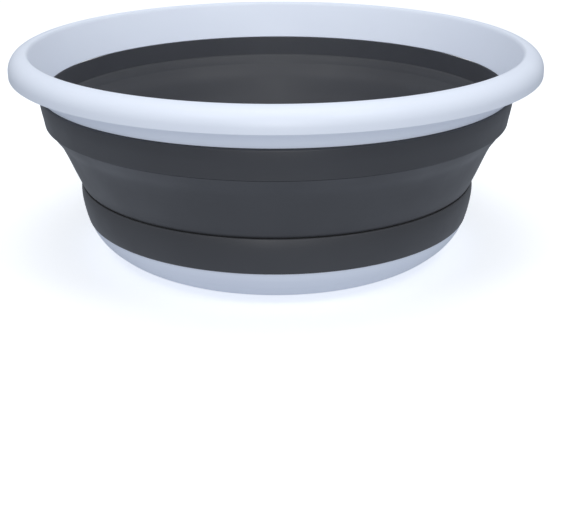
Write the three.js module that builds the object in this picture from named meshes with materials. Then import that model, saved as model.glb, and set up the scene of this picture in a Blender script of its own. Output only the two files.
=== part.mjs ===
// Folding round basin: a hard rim, a soft folding wall and a hard dish, all turned about the Z axis.
// Millimetres, +Z up, standing on z = 0.
import * as THREE from 'three';

// Overall size
const RIM_RADIUS = 187.5;
const HEIGHT = 147;
const SEGMENTS = 48;
const GAP = 0.3;

// Rim hoop, an upside-down U in section
const RIM_CREST_RADIUS = 175.5;
const RIM_DOME_DROP = 11.3;
const RIM_FLANGE_DROP = 15.3;
const RIM_WALL = 2.7;
const RIM_LIP_RADIUS = 173.2;
const RIM_LIP_DROP = 6.5;
const RIM_CHANNEL = { inner: 175.6, drop: 9.5, rise: 5.5 };

// Joint between the rim's skirt and the soft upper band
const SKIRT_DROP = 29;
const SKIRT_INNER = 163.1;
const SKIRT_OUTER = 167.2;
const RIM_TONGUE = { inner: 164.3, outer: 165.9, length: 11 };

// Upper band of the soft wall, down to the upper fold
const BAND_INNER = 162.9;
const BAND_TOP_OUTER = 168.4;
const BAND_FOOT_OUTER = 165.7;
const BAND_FOOT_Z = HEIGHT - 49.6;

// Middle wall: its outer line runs from the upper fold to the lower fold and is slightly hollow
const FOLD_UP = { r: 163.3, z: HEIGHT - 50.6 };
const FOLD_LOW = { r: 142, z: HEIGHT - 92.8 };
const WALL_HOLLOW = 0.03;
const WALL_WIDTH = 3.2;
const SLICES = 7;
const SLICES_OUTER = 161.3;
const SLICES_INNER = 144;

// Lower band of the soft wall and the joint to the dish
const BULGE = { r: 143.5, z: HEIGHT - 101.5 };
const BAND_END = { inner: 135.2, outer: 139.8, z: 26.5 };
const DISH_TONGUE = { r: 137.5, lean: 2, half: 0.7, length: 7.6 };

// Dish
const FOOT = { inner: 98.5, outer: 110.5 };
const FOOT_HEIGHT = 1.2;
const FLOOR_TOP = 3.8;
const FLOOR_STEP = 0.5;
const DISH_WALL = 2.7;

const WHITE_PLASTIC = new THREE.MeshStandardMaterial({ color: 0xe4eaf3, roughness: 0.32 });
const DARK_RUBBER = new THREE.MeshStandardMaterial({ color: 0x3f4247, roughness: 0.62 });

const at = (r, z) => new THREE.Vector2(r, z);

// Points of a quarter ellipse from the side point (r + dr, z) up to the crest (r, z + dz).
function quarter(r, z, dr, dz, steps) {
  const points = [];
  for (let i = 0; i <= steps; i += 1) {
    const a = (Math.PI / 2) * (i / steps);
    points.push(at(r + dr * Math.cos(a), z + dz * Math.sin(a)));
  }
  return points;
}

// Points of a smooth curve through the given ones.
function smooth(through, steps) {
  return new THREE.SplineCurve(through).getPoints(steps);
}

// Height of the middle wall's outer face at a radius; its inner face is the same line moved inward.
function wallOuterZ(r) {
  const slope = (FOLD_UP.z - FOLD_LOW.z) / (FOLD_UP.r - FOLD_LOW.r);
  const along = FOLD_UP.z + (r - FOLD_UP.r) * slope;
  return along - WALL_HOLLOW * (r - FOLD_UP.r) * (r - FOLD_LOW.r);
}

const wallInnerZ = (r) => wallOuterZ(r + WALL_WIDTH);

// One turned body. The profile goes round the section with the material on its left.
function turned(name, profile, material) {
  const geometry = new THREE.LatheGeometry(profile, SEGMENTS);
  geometry.rotateX(Math.PI / 2);
  const mesh = new THREE.Mesh(geometry, material);
  mesh.name = name;
  return mesh;
}

function rim() {
  const skirtEnd = HEIGHT - SKIRT_DROP;
  const flangeEnd = HEIGHT - RIM_FLANGE_DROP;
  const domeSide = HEIGHT - RIM_DOME_DROP;
  const lip = HEIGHT - RIM_LIP_DROP;
  const channelSide = HEIGHT - RIM_CHANNEL.drop;
  const channelOuter = RIM_RADIUS - RIM_WALL;
  const middle = (RIM_CHANNEL.inner + channelOuter) / 2;
  const halfWidth = (channelOuter - RIM_CHANNEL.inner) / 2;
  const ceiling = quarter(middle, channelSide, halfWidth, RIM_CHANNEL.rise, 4).reverse();
  const inward = quarter(RIM_CREST_RADIUS, lip, RIM_LIP_RADIUS - RIM_CREST_RADIUS, RIM_LIP_DROP, 3);
  const profile = [
    at(RIM_TONGUE.inner, skirtEnd - RIM_TONGUE.length),
    at(RIM_TONGUE.outer, skirtEnd - RIM_TONGUE.length),
    at(RIM_TONGUE.outer, skirtEnd),
    at(SKIRT_OUTER, skirtEnd),
    ...quarter(middle, channelSide, -halfWidth, RIM_CHANNEL.rise, 3),
    ...ceiling.slice(1),
    at(channelOuter + 0.1, flangeEnd),
    at(RIM_RADIUS - 0.8, flangeEnd),
    at(RIM_RADIUS, flangeEnd + 0.8),
    ...quarter(RIM_CREST_RADIUS, domeSide, RIM_RADIUS - RIM_CREST_RADIUS, RIM_DOME_DROP, 8),
    ...inward.reverse().slice(1),
    at(SKIRT_INNER, skirtEnd),
    at(RIM_TONGUE.inner, skirtEnd),
    at(RIM_TONGUE.inner, skirtEnd - RIM_TONGUE.length),
  ];
  return turned('rim', profile, WHITE_PLASTIC);
}

// Soft band under the rim. A slot in its top edge holds the rim's tongue.
function upperBand() {
  const edge = HEIGHT - SKIRT_DROP - GAP;
  const slotFloor = HEIGHT - SKIRT_DROP - RIM_TONGUE.length - GAP;
  const end = SLICES_OUTER + GAP;
  const profile = [
    at(end, wallOuterZ(end)),
    at(FOLD_UP.r, FOLD_UP.z),
    at(FOLD_UP.r + 0.5, BAND_FOOT_Z - 0.4),
    at(BAND_FOOT_OUTER - 1, BAND_FOOT_Z - 0.7),
    at(BAND_FOOT_OUTER - 0.2, BAND_FOOT_Z),
    at(BAND_FOOT_OUTER + 0.1, BAND_FOOT_Z + 1.2),
    ...smooth([
      at(BAND_FOOT_OUTER + 0.5, BAND_FOOT_Z + 4),
      at(167.1, HEIGHT - 38),
      at(BAND_TOP_OUTER, edge - 1),
    ], 3),
    at(BAND_TOP_OUTER - 0.6, edge),
    at(RIM_TONGUE.outer + GAP, edge),
    at(RIM_TONGUE.outer + GAP, slotFloor),
    at(RIM_TONGUE.inner - GAP, slotFloor),
    at(RIM_TONGUE.inner - GAP, edge),
    at(BAND_INNER, edge),
    at(BAND_INNER, wallInnerZ(BAND_INNER)),
    at(end, wallInnerZ(end)),
    at(end, wallOuterZ(end)),
  ];
  return turned('upper_band', profile, DARK_RUBBER);
}

// Concentric rings of the middle wall, cut by coaxial cylinders so that they pass one another.
function wallSlices() {
  const pitch = (SLICES_OUTER - SLICES_INNER + GAP) / SLICES;
  const rings = [];
  for (let i = 0; i < SLICES; i += 1) {
    const outer = SLICES_OUTER - i * pitch;
    const inner = outer - pitch + GAP;
    const middle = (outer + inner) / 2;
    const profile = [
      at(inner, wallOuterZ(inner)),
      at(middle, wallOuterZ(middle)),
      at(outer, wallOuterZ(outer)),
      at(outer, wallInnerZ(outer)),
      at(middle, wallInnerZ(middle)),
      at(inner, wallInnerZ(inner)),
      at(inner, wallOuterZ(inner)),
    ];
    rings.push(turned(`middle_wall_${i + 1}`, profile, DARK_RUBBER));
  }
  return rings;
}

// Soft band over the dish. A slot in its bottom edge holds the dish's tongue.
function lowerBand() {
  const end = SLICES_INNER - GAP;
  const slot = DISH_TONGUE.half + 0.35;
  const slotTop = BAND_END.z + DISH_TONGUE.length;
  const slotTopRadius = DISH_TONGUE.r + DISH_TONGUE.lean;
  const profile = [
    at(BAND_END.inner, BAND_END.z),
    at(DISH_TONGUE.r - slot, BAND_END.z),
    at(slotTopRadius - slot, slotTop),
    at(slotTopRadius + slot, slotTop),
    at(DISH_TONGUE.r + slot, BAND_END.z),
    at(BAND_END.outer - 0.6, BAND_END.z),
    ...smooth([
      at(BAND_END.outer, BAND_END.z + 0.9),
      at(142.7, HEIGHT - 110.5),
      at(BULGE.r, BULGE.z),
    ], 5),
    at(BULGE.r - 0.5, BULGE.z + 2.4),
    at(BULGE.r - 2, BULGE.z + 4.1),
    at(FOLD_LOW.r - 2.2, FOLD_LOW.z - 2.2),
    at(FOLD_LOW.r, FOLD_LOW.z),
    at(end, wallOuterZ(end)),
    at(end, wallInnerZ(end)),
    at(FOLD_LOW.r - WALL_WIDTH / 2, wallInnerZ(FOLD_LOW.r - WALL_WIDTH / 2)),
    ...smooth([
      at(FOLD_LOW.r - WALL_WIDTH, FOLD_LOW.z),
      at(138.4, HEIGHT - 97),
      at(139.7, HEIGHT - 102),
      at(139.1, HEIGHT - 109),
      at(BAND_END.inner, BAND_END.z),
    ], 7),
  ];
  return turned('lower_band', profile, DARK_RUBBER);
}

function dish() {
  const edge = BAND_END.z - GAP;
  const tongueTop = edge + DISH_TONGUE.length - 0.1;
  const tongueTopRadius = DISH_TONGUE.r + DISH_TONGUE.lean;
  const outside = smooth([
    at(FOOT.outer, 0),
    at(124.5, 6.7),
    at(132, 13.5),
    at(136.6, 20),
    at(139, edge),
  ], 8);
  const inside = smooth([
    at(BAND_END.inner + 0.5, edge),
    at(136.6 - DISH_WALL - 0.3, 20),
    at(132 - DISH_WALL, 14.6),
    at(124.5 - DISH_WALL, 8.9),
    at(FOOT.outer, FLOOR_TOP - FLOOR_STEP),
  ], 7);
  const profile = [
    at(0, FOOT_HEIGHT),
    at(FOOT.inner - 1.5, FOOT_HEIGHT),
    at(FOOT.inner, 0),
    ...outside,
    at(DISH_TONGUE.r + DISH_TONGUE.half, edge),
    at(tongueTopRadius + DISH_TONGUE.half, tongueTop),
    at(tongueTopRadius - DISH_TONGUE.half, tongueTop),
    at(DISH_TONGUE.r - DISH_TONGUE.half, edge),
    ...inside,
    at(FOOT.inner, FLOOR_TOP - FLOOR_STEP),
    at(FOOT.inner - 0.6, FLOOR_TOP),
    at(0, FLOOR_TOP),
  ];
  return turned('dish', profile, WHITE_PLASTIC);
}

const basin = new THREE.Group();
basin.name = 'folding_basin';
basin.add(rim(), upperBand(), ...wallSlices(), lowerBand(), dish());

export default basin;
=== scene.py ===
"""Looks of a folding foot basin: hard white rim, soft dark wall that folds flat, hard white dish.

Profiles are in millimetres: radius, then height over the floor. Everything else is in metres.
"""
import math

import bpy
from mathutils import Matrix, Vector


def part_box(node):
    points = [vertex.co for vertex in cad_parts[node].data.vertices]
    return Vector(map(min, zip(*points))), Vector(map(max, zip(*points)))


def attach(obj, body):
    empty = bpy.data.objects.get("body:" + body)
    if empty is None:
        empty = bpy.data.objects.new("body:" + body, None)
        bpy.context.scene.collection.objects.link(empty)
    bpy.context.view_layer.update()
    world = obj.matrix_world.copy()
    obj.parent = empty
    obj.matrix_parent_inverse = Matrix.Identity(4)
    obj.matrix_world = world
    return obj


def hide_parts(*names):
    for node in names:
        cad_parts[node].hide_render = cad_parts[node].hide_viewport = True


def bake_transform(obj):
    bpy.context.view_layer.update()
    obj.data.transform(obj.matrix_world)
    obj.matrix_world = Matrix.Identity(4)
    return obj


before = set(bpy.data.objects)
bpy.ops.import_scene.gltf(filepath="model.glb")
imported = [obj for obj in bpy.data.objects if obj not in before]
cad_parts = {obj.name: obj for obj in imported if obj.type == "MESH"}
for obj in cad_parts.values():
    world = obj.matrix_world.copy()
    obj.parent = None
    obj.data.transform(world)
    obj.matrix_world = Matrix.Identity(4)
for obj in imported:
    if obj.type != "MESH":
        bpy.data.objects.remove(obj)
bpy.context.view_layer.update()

MM = 0.001
TURN_STEPS = 240

# Radii and heights that the frame gives, in millimetres
RIM_RADIUS, _, TOP = [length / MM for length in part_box("rim")[1]]
BAND_RADIUS, _, BAND_TOP = [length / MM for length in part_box("upper_band")[1]]
BAND_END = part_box("lower_band")[0][2] / MM

# Where the soft wall folds, and the top edge of the dish inside it
FOLD_UP = TOP - 50.6
FOLD_LOW = TOP - 92.8
DISH_TOP = 42

# Thickness of the fold sheet: thin, but heavier over the last stretch under the top band
SHEET = 2.7
HEAVY_SHEET = 5.4
HEAVY_REACH = 24
EDGE_ROUNDING = 0.45


# ---------- profiles ----------

def rounded(corners, steps=5):
    """A closed outline in which each corner (r, z, size) is rounded off by about its size."""
    points = []
    count = len(corners)
    for i, (r, z, size) in enumerate(corners):
        if size == 0:
            points.append((r, z))
            continue
        ends = []
        for other in (corners[i - 1], corners[(i + 1) % count]):
            dr, dz = other[0] - r, other[1] - z
            length = math.hypot(dr, dz)
            cut = min(size, 0.48 * length)
            ends.append((r + dr / length * cut, z + dz / length * cut))
        (ar, az), (br, bz) = ends
        for k in range(steps + 1):
            t = k / steps
            points.append((
                (1 - t) ** 2 * ar + 2 * t * (1 - t) * r + t * t * br,
                (1 - t) ** 2 * az + 2 * t * (1 - t) * z + t * t * bz,
            ))
    return points


def arc(r, z, dr, dz, start, end, steps):
    """Sharp corners along an ellipse about (r, z), from one angle in degrees to another."""
    angles = [math.radians(start + (end - start) * k / steps) for k in range(steps + 1)]
    return [(r + dr * math.cos(a), z + dz * math.sin(a), 0) for a in angles]


def flowing(knots, steps):
    """A smooth line through the knots (Catmull-Rom)."""
    padded = [knots[0], *knots, knots[-1]]
    points = []
    for a, b, c, d in zip(padded, padded[1:], padded[2:], padded[3:]):
        for k in range(steps):
            t = k / steps
            points.append(tuple(
                0.5 * (2 * q + (s - p) * t + (2 * p - 5 * q + 4 * s - u) * t ** 2
                       + (3 * q - p - 3 * s + u) * t ** 3)
                for p, q, s, u in zip(a, b, c, d)
            ))
    points.append(knots[-1])
    return points


def turned(name, profile, closed, waver=None):
    """The profile turned about Z, with the material on the left of the way the profile goes."""
    verts, faces, rows = [], [], []
    for r, z in profile:
        if r == 0:
            rows.append([len(verts)] * TURN_STEPS)
            verts.append((0, 0, z * MM))
            continue
        rows.append(range(len(verts), len(verts) + TURN_STEPS))
        for k in range(TURN_STEPS):
            angle = 2 * math.pi * k / TURN_STEPS
            reach = (r + (waver(z, angle) if waver else 0)) * MM
            verts.append((reach * math.cos(angle), reach * math.sin(angle), z * MM))
    pairs = list(zip(rows, rows[1:]))
    if closed:
        pairs.append((rows[-1], rows[0]))
    for low, high in pairs:
        for k in range(TURN_STEPS):
            n = (k + 1) % TURN_STEPS
            corners = [low[k], low[n], high[n], high[k]]
            faces.append([v for i, v in enumerate(corners) if v not in corners[:i]])
    mesh = bpy.data.meshes.new(name)
    mesh.from_pydata(verts, [], faces)
    mesh.shade_smooth()
    mesh.validate()
    piece = bpy.data.objects.new(name, mesh)
    bpy.context.scene.collection.objects.link(piece)
    return piece


# ---------- materials ----------

def shader(name, **values):
    """A new material and its Principled node, with the given socket values."""
    material = bpy.data.materials.new(name)
    material.use_nodes = True
    node = material.node_tree.nodes["Principled BSDF"]
    for socket, value in values.items():
        node.inputs[socket.replace("_", " ")].default_value = value
    return material, node


def noise(tree, scale, detail=3.0):
    where = tree.nodes.new("ShaderNodeTexCoord")
    pattern = tree.nodes.new("ShaderNodeTexNoise")
    pattern.inputs["Scale"].default_value = scale
    pattern.inputs["Detail"].default_value = detail
    tree.links.new(where.outputs["Object"], pattern.inputs["Vector"])
    return pattern.outputs["Fac"]


def ranged(tree, source, low, high):
    """The source's 0.3 to 0.7 spread over low to high."""
    node = tree.nodes.new("ShaderNodeMapRange")
    node.inputs["From Min"].default_value = 0.3
    node.inputs["From Max"].default_value = 0.7
    node.inputs["To Min"].default_value = low
    node.inputs["To Max"].default_value = high
    tree.links.new(source, node.inputs["Value"])
    return node.outputs["Result"]


def tinted(tree, source, dark, light):
    """A colour between dark and light, by the source."""
    ramp = tree.nodes.new("ShaderNodeValToRGB")
    ramp.color_ramp.elements[0].position = 0.3
    ramp.color_ramp.elements[1].position = 0.7
    ramp.color_ramp.elements[0].color = (*dark, 1)
    ramp.color_ramp.elements[1].color = (*light, 1)
    tree.links.new(source, ramp.inputs["Fac"])
    return ramp.outputs["Color"]


def bumped(tree, node, source, distance, strength=0.5):
    """Adds the source's relief to the node's normal, on top of any relief already there."""
    bump = tree.nodes.new("ShaderNodeBump")
    bump.inputs["Strength"].default_value = strength
    bump.inputs["Distance"].default_value = distance
    tree.links.new(source, bump.inputs["Height"])
    previous = node.inputs["Normal"].links
    if previous:
        tree.links.new(previous[0].from_socket, bump.inputs["Normal"])
    tree.links.new(bump.outputs["Normal"], node.inputs["Normal"])


def white_plastic(name, dark, light):
    """Satin polypropylene: a faint cloudiness in the colour and a fine moulded grain."""
    material, node = shader(name, IOR=1.49, Specular_IOR_Level=0.5)
    tree = material.node_tree
    cloud = noise(tree, 9.0)
    tree.links.new(tinted(tree, cloud, dark, light), node.inputs["Base Color"])
    tree.links.new(ranged(tree, noise(tree, 60.0), 0.33, 0.42), node.inputs["Roughness"])
    bumped(tree, node, noise(tree, 1400.0, 1.0), 0.02 * MM)
    return material


def dish_plastic():
    """The same plastic with very fine turning rings."""
    material = white_plastic("dish_white", (0.78, 0.82, 0.93), (0.81, 0.86, 0.96))
    tree = material.node_tree
    node = tree.nodes["Principled BSDF"]
    where = tree.nodes.new("ShaderNodeTexCoord")
    rings = tree.nodes.new("ShaderNodeTexWave")
    rings.wave_type = "RINGS"
    rings.rings_direction = "Z"
    rings.inputs["Scale"].default_value = 160.0
    tree.links.new(where.outputs["Object"], rings.inputs["Vector"])
    bumped(tree, node, rings.outputs["Fac"], 0.03 * MM, 0.35)
    return material


def dark_rubber():
    """Matt thermoplastic rubber: soft sheen, uneven gloss, fine grain."""
    material, node = shader("dark_rubber", IOR=1.5, Specular_IOR_Level=0.40, Sheen_Weight=0.05,
                            Sheen_Roughness=0.45)
    tree = material.node_tree
    tree.links.new(tinted(tree, noise(tree, 14.0), (0.052, 0.0525, 0.058), (0.058, 0.059, 0.0645)),
                   node.inputs["Base Color"])
    tree.links.new(ranged(tree, noise(tree, 34.0), 0.40, 0.50), node.inputs["Roughness"])
    bumped(tree, node, noise(tree, 900.0, 2.0), 0.03 * MM)
    return material


# ---------- pieces ----------

def finish(piece, material):
    """Its material, and crisp edges where the surface turns sharply."""
    piece.data.materials.append(material)
    piece.data.set_sharp_from_angle(angle=math.radians(50))


def make_rim(plastic):
    """Hoop with a domed top, a short outer flange and the conical skirt that the wall grips."""
    crest = 175.5
    dome_drop, lip_drop, flange_drop = 11.3, 8, 15.3
    channel_outer = RIM_RADIUS - 2.7
    flange_end = TOP - flange_drop
    dome = arc(crest, TOP - dome_drop, RIM_RADIUS - crest, dome_drop, 0, 90, 24)
    lip = arc(crest, TOP - lip_drop, 3.8, lip_drop, 90, 141, 12)
    outline = rounded([
        (BAND_RADIUS - 1.1, BAND_TOP + 0.45, 0.2),
        # the open channel inside the lip
        (175.8, TOP - 7.5, 3),
        (178.6, TOP - 4.2, 2.5),
        (183.0, TOP - 5.2, 3),
        (channel_outer, TOP - 10.5, 2),
        (channel_outer + 0.1, flange_end, 0.5),
        # the flange's edge, and over the top to the inside
        (RIM_RADIUS, flange_end, 0.6),
        *dome,
        *lip[1:],
        (BAND_RADIUS - 5.4, BAND_TOP + 2.0, 0.4),
    ])
    piece = turned("rim_hoop", outline, True)
    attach(piece, "rim_hoop")
    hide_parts("rim")
    finish(piece, plastic)


def make_top_band(rubber):
    """Rubber band that grips the rim's skirt. Its foot overhangs the upper fold, and its root, inside
    the foot, runs into the middle of the wall below."""
    outline = rounded([
        # foot and outer face
        (165.5, TOP - 49.7, 0.5),
        (166.1, TOP - 45.6, 3),
        (BAND_RADIUS - 0.5, TOP - 36, 3),
        (BAND_RADIUS, BAND_TOP - 0.6, 0.7),
        # edge that meets the skirt, and inner face down to its crease
        (BAND_RADIUS - 1, BAND_TOP + 0.2, 0.4),
        (162.6, BAND_TOP + 1.9, 0.6),
        (162.7, BAND_TOP - 8, 4),
        (162.7, TOP - 42.4, 0.2),
        (161.2, TOP - 43.4, 0.4),
        # root
        (159.6, TOP - 46.8, 0.5),
        (158.4, TOP - 49.8, 0.2),
        (160.0, TOP - 51.5, 0.2),
        (163.2, TOP - 49.2, 0.1),
        (163.8, TOP - 48.2, 0.3),
    ])
    piece = turned("wall_top_band", outline, True)
    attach(piece, "rim_hoop")
    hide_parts("upper_band")
    finish(piece, rubber)


def unevenness(z, angle):
    """How far the soft wall strays from round, most half-way between the folds."""
    share = (z - FOLD_LOW) / (FOLD_UP - FOLD_LOW)
    height = max(0.0, 1 - (2 * share - 1) ** 2)
    ripple = math.cos(3 * angle + 0.7) + 0.7 * math.cos(7 * angle + 2.1) + 0.5 * math.cos(13 * angle)
    return 0.16 * height * ripple


def thicken(piece):
    """Gives the sheet its thickness, inward from its outer face, and rounds the sheet's edges."""
    thin = SHEET / HEAVY_SHEET
    heavy = piece.vertex_groups.new(name="heavy")
    for vertex in piece.data.vertices:
        nearness = 1 - (FOLD_UP - vertex.co.z / MM) / HEAVY_REACH
        share = min(1.0, max(0.0, nearness)) ** 1.5
        heavy.add([vertex.index], thin + (1 - thin) * share, "REPLACE")
    solid = piece.modifiers.new("thickness", "SOLIDIFY")
    solid.thickness = HEAVY_SHEET * MM
    solid.offset = -1
    solid.vertex_group = heavy.name
    edges = piece.modifiers.new("edges", "BEVEL")
    edges.width = EDGE_ROUNDING * MM
    edges.segments = 3
    edges.limit_method = "ANGLE"
    edges.angle_limit = math.radians(60)


def make_fold(rubber):
    """The part of the rubber wall that turns over, drawn as its outer face from the lower fold up."""
    line = flowing([
        (138.9, 51.2), (140.3, 51.5), (141.8, 52.7), (143.1, 54.8), (144.3, 57.7), (146.6, 63.1),
        (148.9, 68.8), (151.2, 74.5), (153.7, 80.3), (156.6, 86.0), (160.4, 91.4), (164.3, 96.9),
    ], 8)
    piece = turned("wall_fold", line, False, unevenness)
    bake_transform(piece)
    thicken(piece)
    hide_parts(*[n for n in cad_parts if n.startswith("middle_wall_")])
    finish(piece, rubber)


def make_bottom_band(rubber):
    """Rubber band that grips the dish. Its round shoulder comes out from under the wall, and its root,
    inside the shoulder, runs into the middle of the wall above."""
    outline = rounded([
        # outer face up to the shoulder
        (137.2, BAND_END, 0.2),
        (139.7, BAND_END, 0.5),
        (141.6, BAND_END + 7, 4),
        (143.0, BAND_END + 15, 4),
        (143.4, TOP - 99.4, 2.6),
        (142.7, TOP - 94.9, 1.4),
        # groove under the fold sheet's lip
        (140.3, TOP - 95.8, 0.3),
        (138.0, TOP - 95.9, 0.1),
        # root
        (138.2, TOP - 94.7, 0.1),
        (139.6, TOP - 93.6, 0.1),
        (138.4, TOP - 93.0, 0.1),
        # inner face down to the dish's edge, and the face behind the dish's wall
        (136.7, TOP - 94.8, 1.5),
        (136.1, TOP - 98.4, 2),
        (134.9, DISH_TOP + 0.1, 0.3),
        (137.6, DISH_TOP + 0.1, 0.3),
    ])
    piece = turned("wall_bottom_band", outline, True)
    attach(piece, "base")
    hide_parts("lower_band")
    finish(piece, rubber)


def make_dish(plastic):
    """Round-shouldered dish: a foot ring below, a flat floor with a fine step round its middle disc,
    and a thinner upper wall that stands inside the rubber band."""
    edge = BAND_END - 0.15
    foot_in, foot_out = 98.5, 110.5
    foot = [
        (0, 1.2), (foot_in - 3, 1.2), (foot_in - 1.6, 1.0), (foot_in, 0.1), (foot_in + 0.4, 0),
        (foot_out - 1, 0),
    ]
    outside = flowing([
        (112.5, 0.35), (118.5, 3.0), (124.7, 6.8), (132.0, 13.4), (136.6, 20.0), (138.9, edge - 0.6),
    ], 6)
    upper_wall = [
        (138.7, edge), (137.1, edge), (137.5, DISH_TOP - 0.3), (137.2, DISH_TOP), (135.1, DISH_TOP),
    ]
    inside = flowing([
        (134.8, DISH_TOP - 0.4), (134.9, 34.0), (134.8, 27.0), (133.2, 20.2), (129.2, 14.6), (122.5, 9.1),
        (116.0, 5.4), (109.0, 3.5),
    ], 6)
    floor = [
        (105.6, 3.3), (105.2, 3.15), (104.8, 3.3), (foot_in + 0.2, 3.3), (foot_in - 0.1, 3.45),
        (foot_in - 0.5, 3.8), (foot_in - 0.9, 3.85), (60, 3.85), (0, 3.85),
    ]
    piece = turned("dish_bowl", foot + outside + upper_wall + inside + floor, False)
    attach(piece, "base")
    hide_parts("dish")
    finish(piece, plastic)


# ---------- stage, lights and camera ----------

def make_stage():
    """White floor and a backdrop that rises round it. Only the floor catches shadows."""
    mesh = bpy.data.meshes.new("floor")
    half = 6
    mesh.from_pydata([(-half, -half, 0), (half, -half, 0), (half, half, 0), (-half, half, 0)], [],
                     [(0, 1, 2, 3)])
    floor = bpy.data.objects.new("floor", mesh)
    bpy.context.scene.collection.objects.link(floor)
    sweep = [(5400, 1), (6200, 200), (6800, 800), (7100, 2000), (7100, 7000)]
    backdrop = turned("backdrop", sweep, False)
    backdrop.visible_shadow = False
    material, _ = shader("stage", Base_Color=(0.93, 0.94, 0.95, 1), Roughness=0.9,
                         Specular_IOR_Level=0.1, Emission_Color=(1, 1, 1, 1), Emission_Strength=0.4)
    for piece in (floor, backdrop):
        piece.data.materials.append(material)
        piece.visible_glossy = False
        piece.visible_diffuse = False


def make_world():
    """Pale surroundings, bright above and below and dimmer at the level of the basin."""
    stops = [
        (0.1, (0.60, 0.66, 0.77)),
        (0.33, (0.31, 0.34, 0.39)),
        (0.5, (0.29, 0.32, 0.36)),
        (0.85, (0.70, 0.74, 0.80)),
    ]
    world = bpy.data.worlds.new("studio")
    world.use_nodes = True
    tree = world.node_tree
    where = tree.nodes.new("ShaderNodeTexCoord")
    split = tree.nodes.new("ShaderNodeSeparateXYZ")
    ramp = tree.nodes.new("ShaderNodeValToRGB")
    for place, _ in stops[1:-1]:
        ramp.color_ramp.elements.new(place)
    for element, (place, colour) in zip(ramp.color_ramp.elements, stops):
        element.position = place
        element.color = (*colour, 1)
    half = tree.nodes.new("ShaderNodeMath")
    half.operation = "MULTIPLY_ADD"
    half.inputs[1].default_value = 0.5
    half.inputs[2].default_value = 0.5
    tree.links.new(where.outputs["Generated"], split.inputs["Vector"])
    tree.links.new(split.outputs["Z"], half.inputs[0])
    tree.links.new(half.outputs[0], ramp.inputs["Fac"])
    tree.links.new(ramp.outputs["Color"], tree.nodes["Background"].inputs["Color"])
    tree.nodes["Background"].inputs["Strength"].default_value = 0.95
    bpy.context.scene.world = world


def make_light(name, place, size, power):
    """A round lamp that faces the middle of the basin."""
    data = bpy.data.lights.new(name, "AREA")
    data.shape = "DISK"
    data.size = size
    data.energy = power
    lamp = bpy.data.objects.new(name, data)
    lamp.location = place
    x, y, z = place
    rise = z - TOP * MM / 2
    lamp.rotation_euler = (math.atan2(math.hypot(x, y), rise), 0, math.atan2(x, -y))
    bpy.context.scene.collection.objects.link(lamp)


def make_camera():
    """Looks down on the basin from the front; the basin sits in the upper part of the picture."""
    aim = (TOP - 0.4225 * RIM_RADIUS) * MM
    distance = 4.5 * RIM_RADIUS * MM
    height = math.radians(16.57)
    data = bpy.data.cameras.new("camera")
    data.sensor_width = 36
    data.lens = 69.79
    camera = bpy.data.objects.new("camera", data)
    camera.location = (0, -distance * math.cos(height), aim + distance * math.sin(height))
    down, right = height + math.radians(5.536), math.radians(0.856)
    camera.rotation_euler = (math.pi / 2 - down, 0, -right)
    bpy.context.scene.collection.objects.link(camera)
    bpy.context.scene.camera = camera


make_rim(white_plastic("rim_white", (0.82, 0.86, 0.95), (0.85, 0.89, 0.97)))
rubber = dark_rubber()
make_top_band(rubber)
make_fold(rubber)
make_bottom_band(rubber)
make_dish(dish_plastic())

make_stage()
make_world()
make_light("key", (1.0, -1.15, 1.95), 0.6, 4.6)
make_light("fill", (-0.9, -1.25, 1.95), 0.6, 4.2)
make_light("top", (0, -0.3, 2.4), 1.6, 8)
make_light("front", (0, -2.0, 0.8), 0.9, 6)
make_light("low front", (0, -2.2, -0.1), 1.4, 9)
make_camera()
bpy.context.scene.view_settings.view_transform = "Standard"
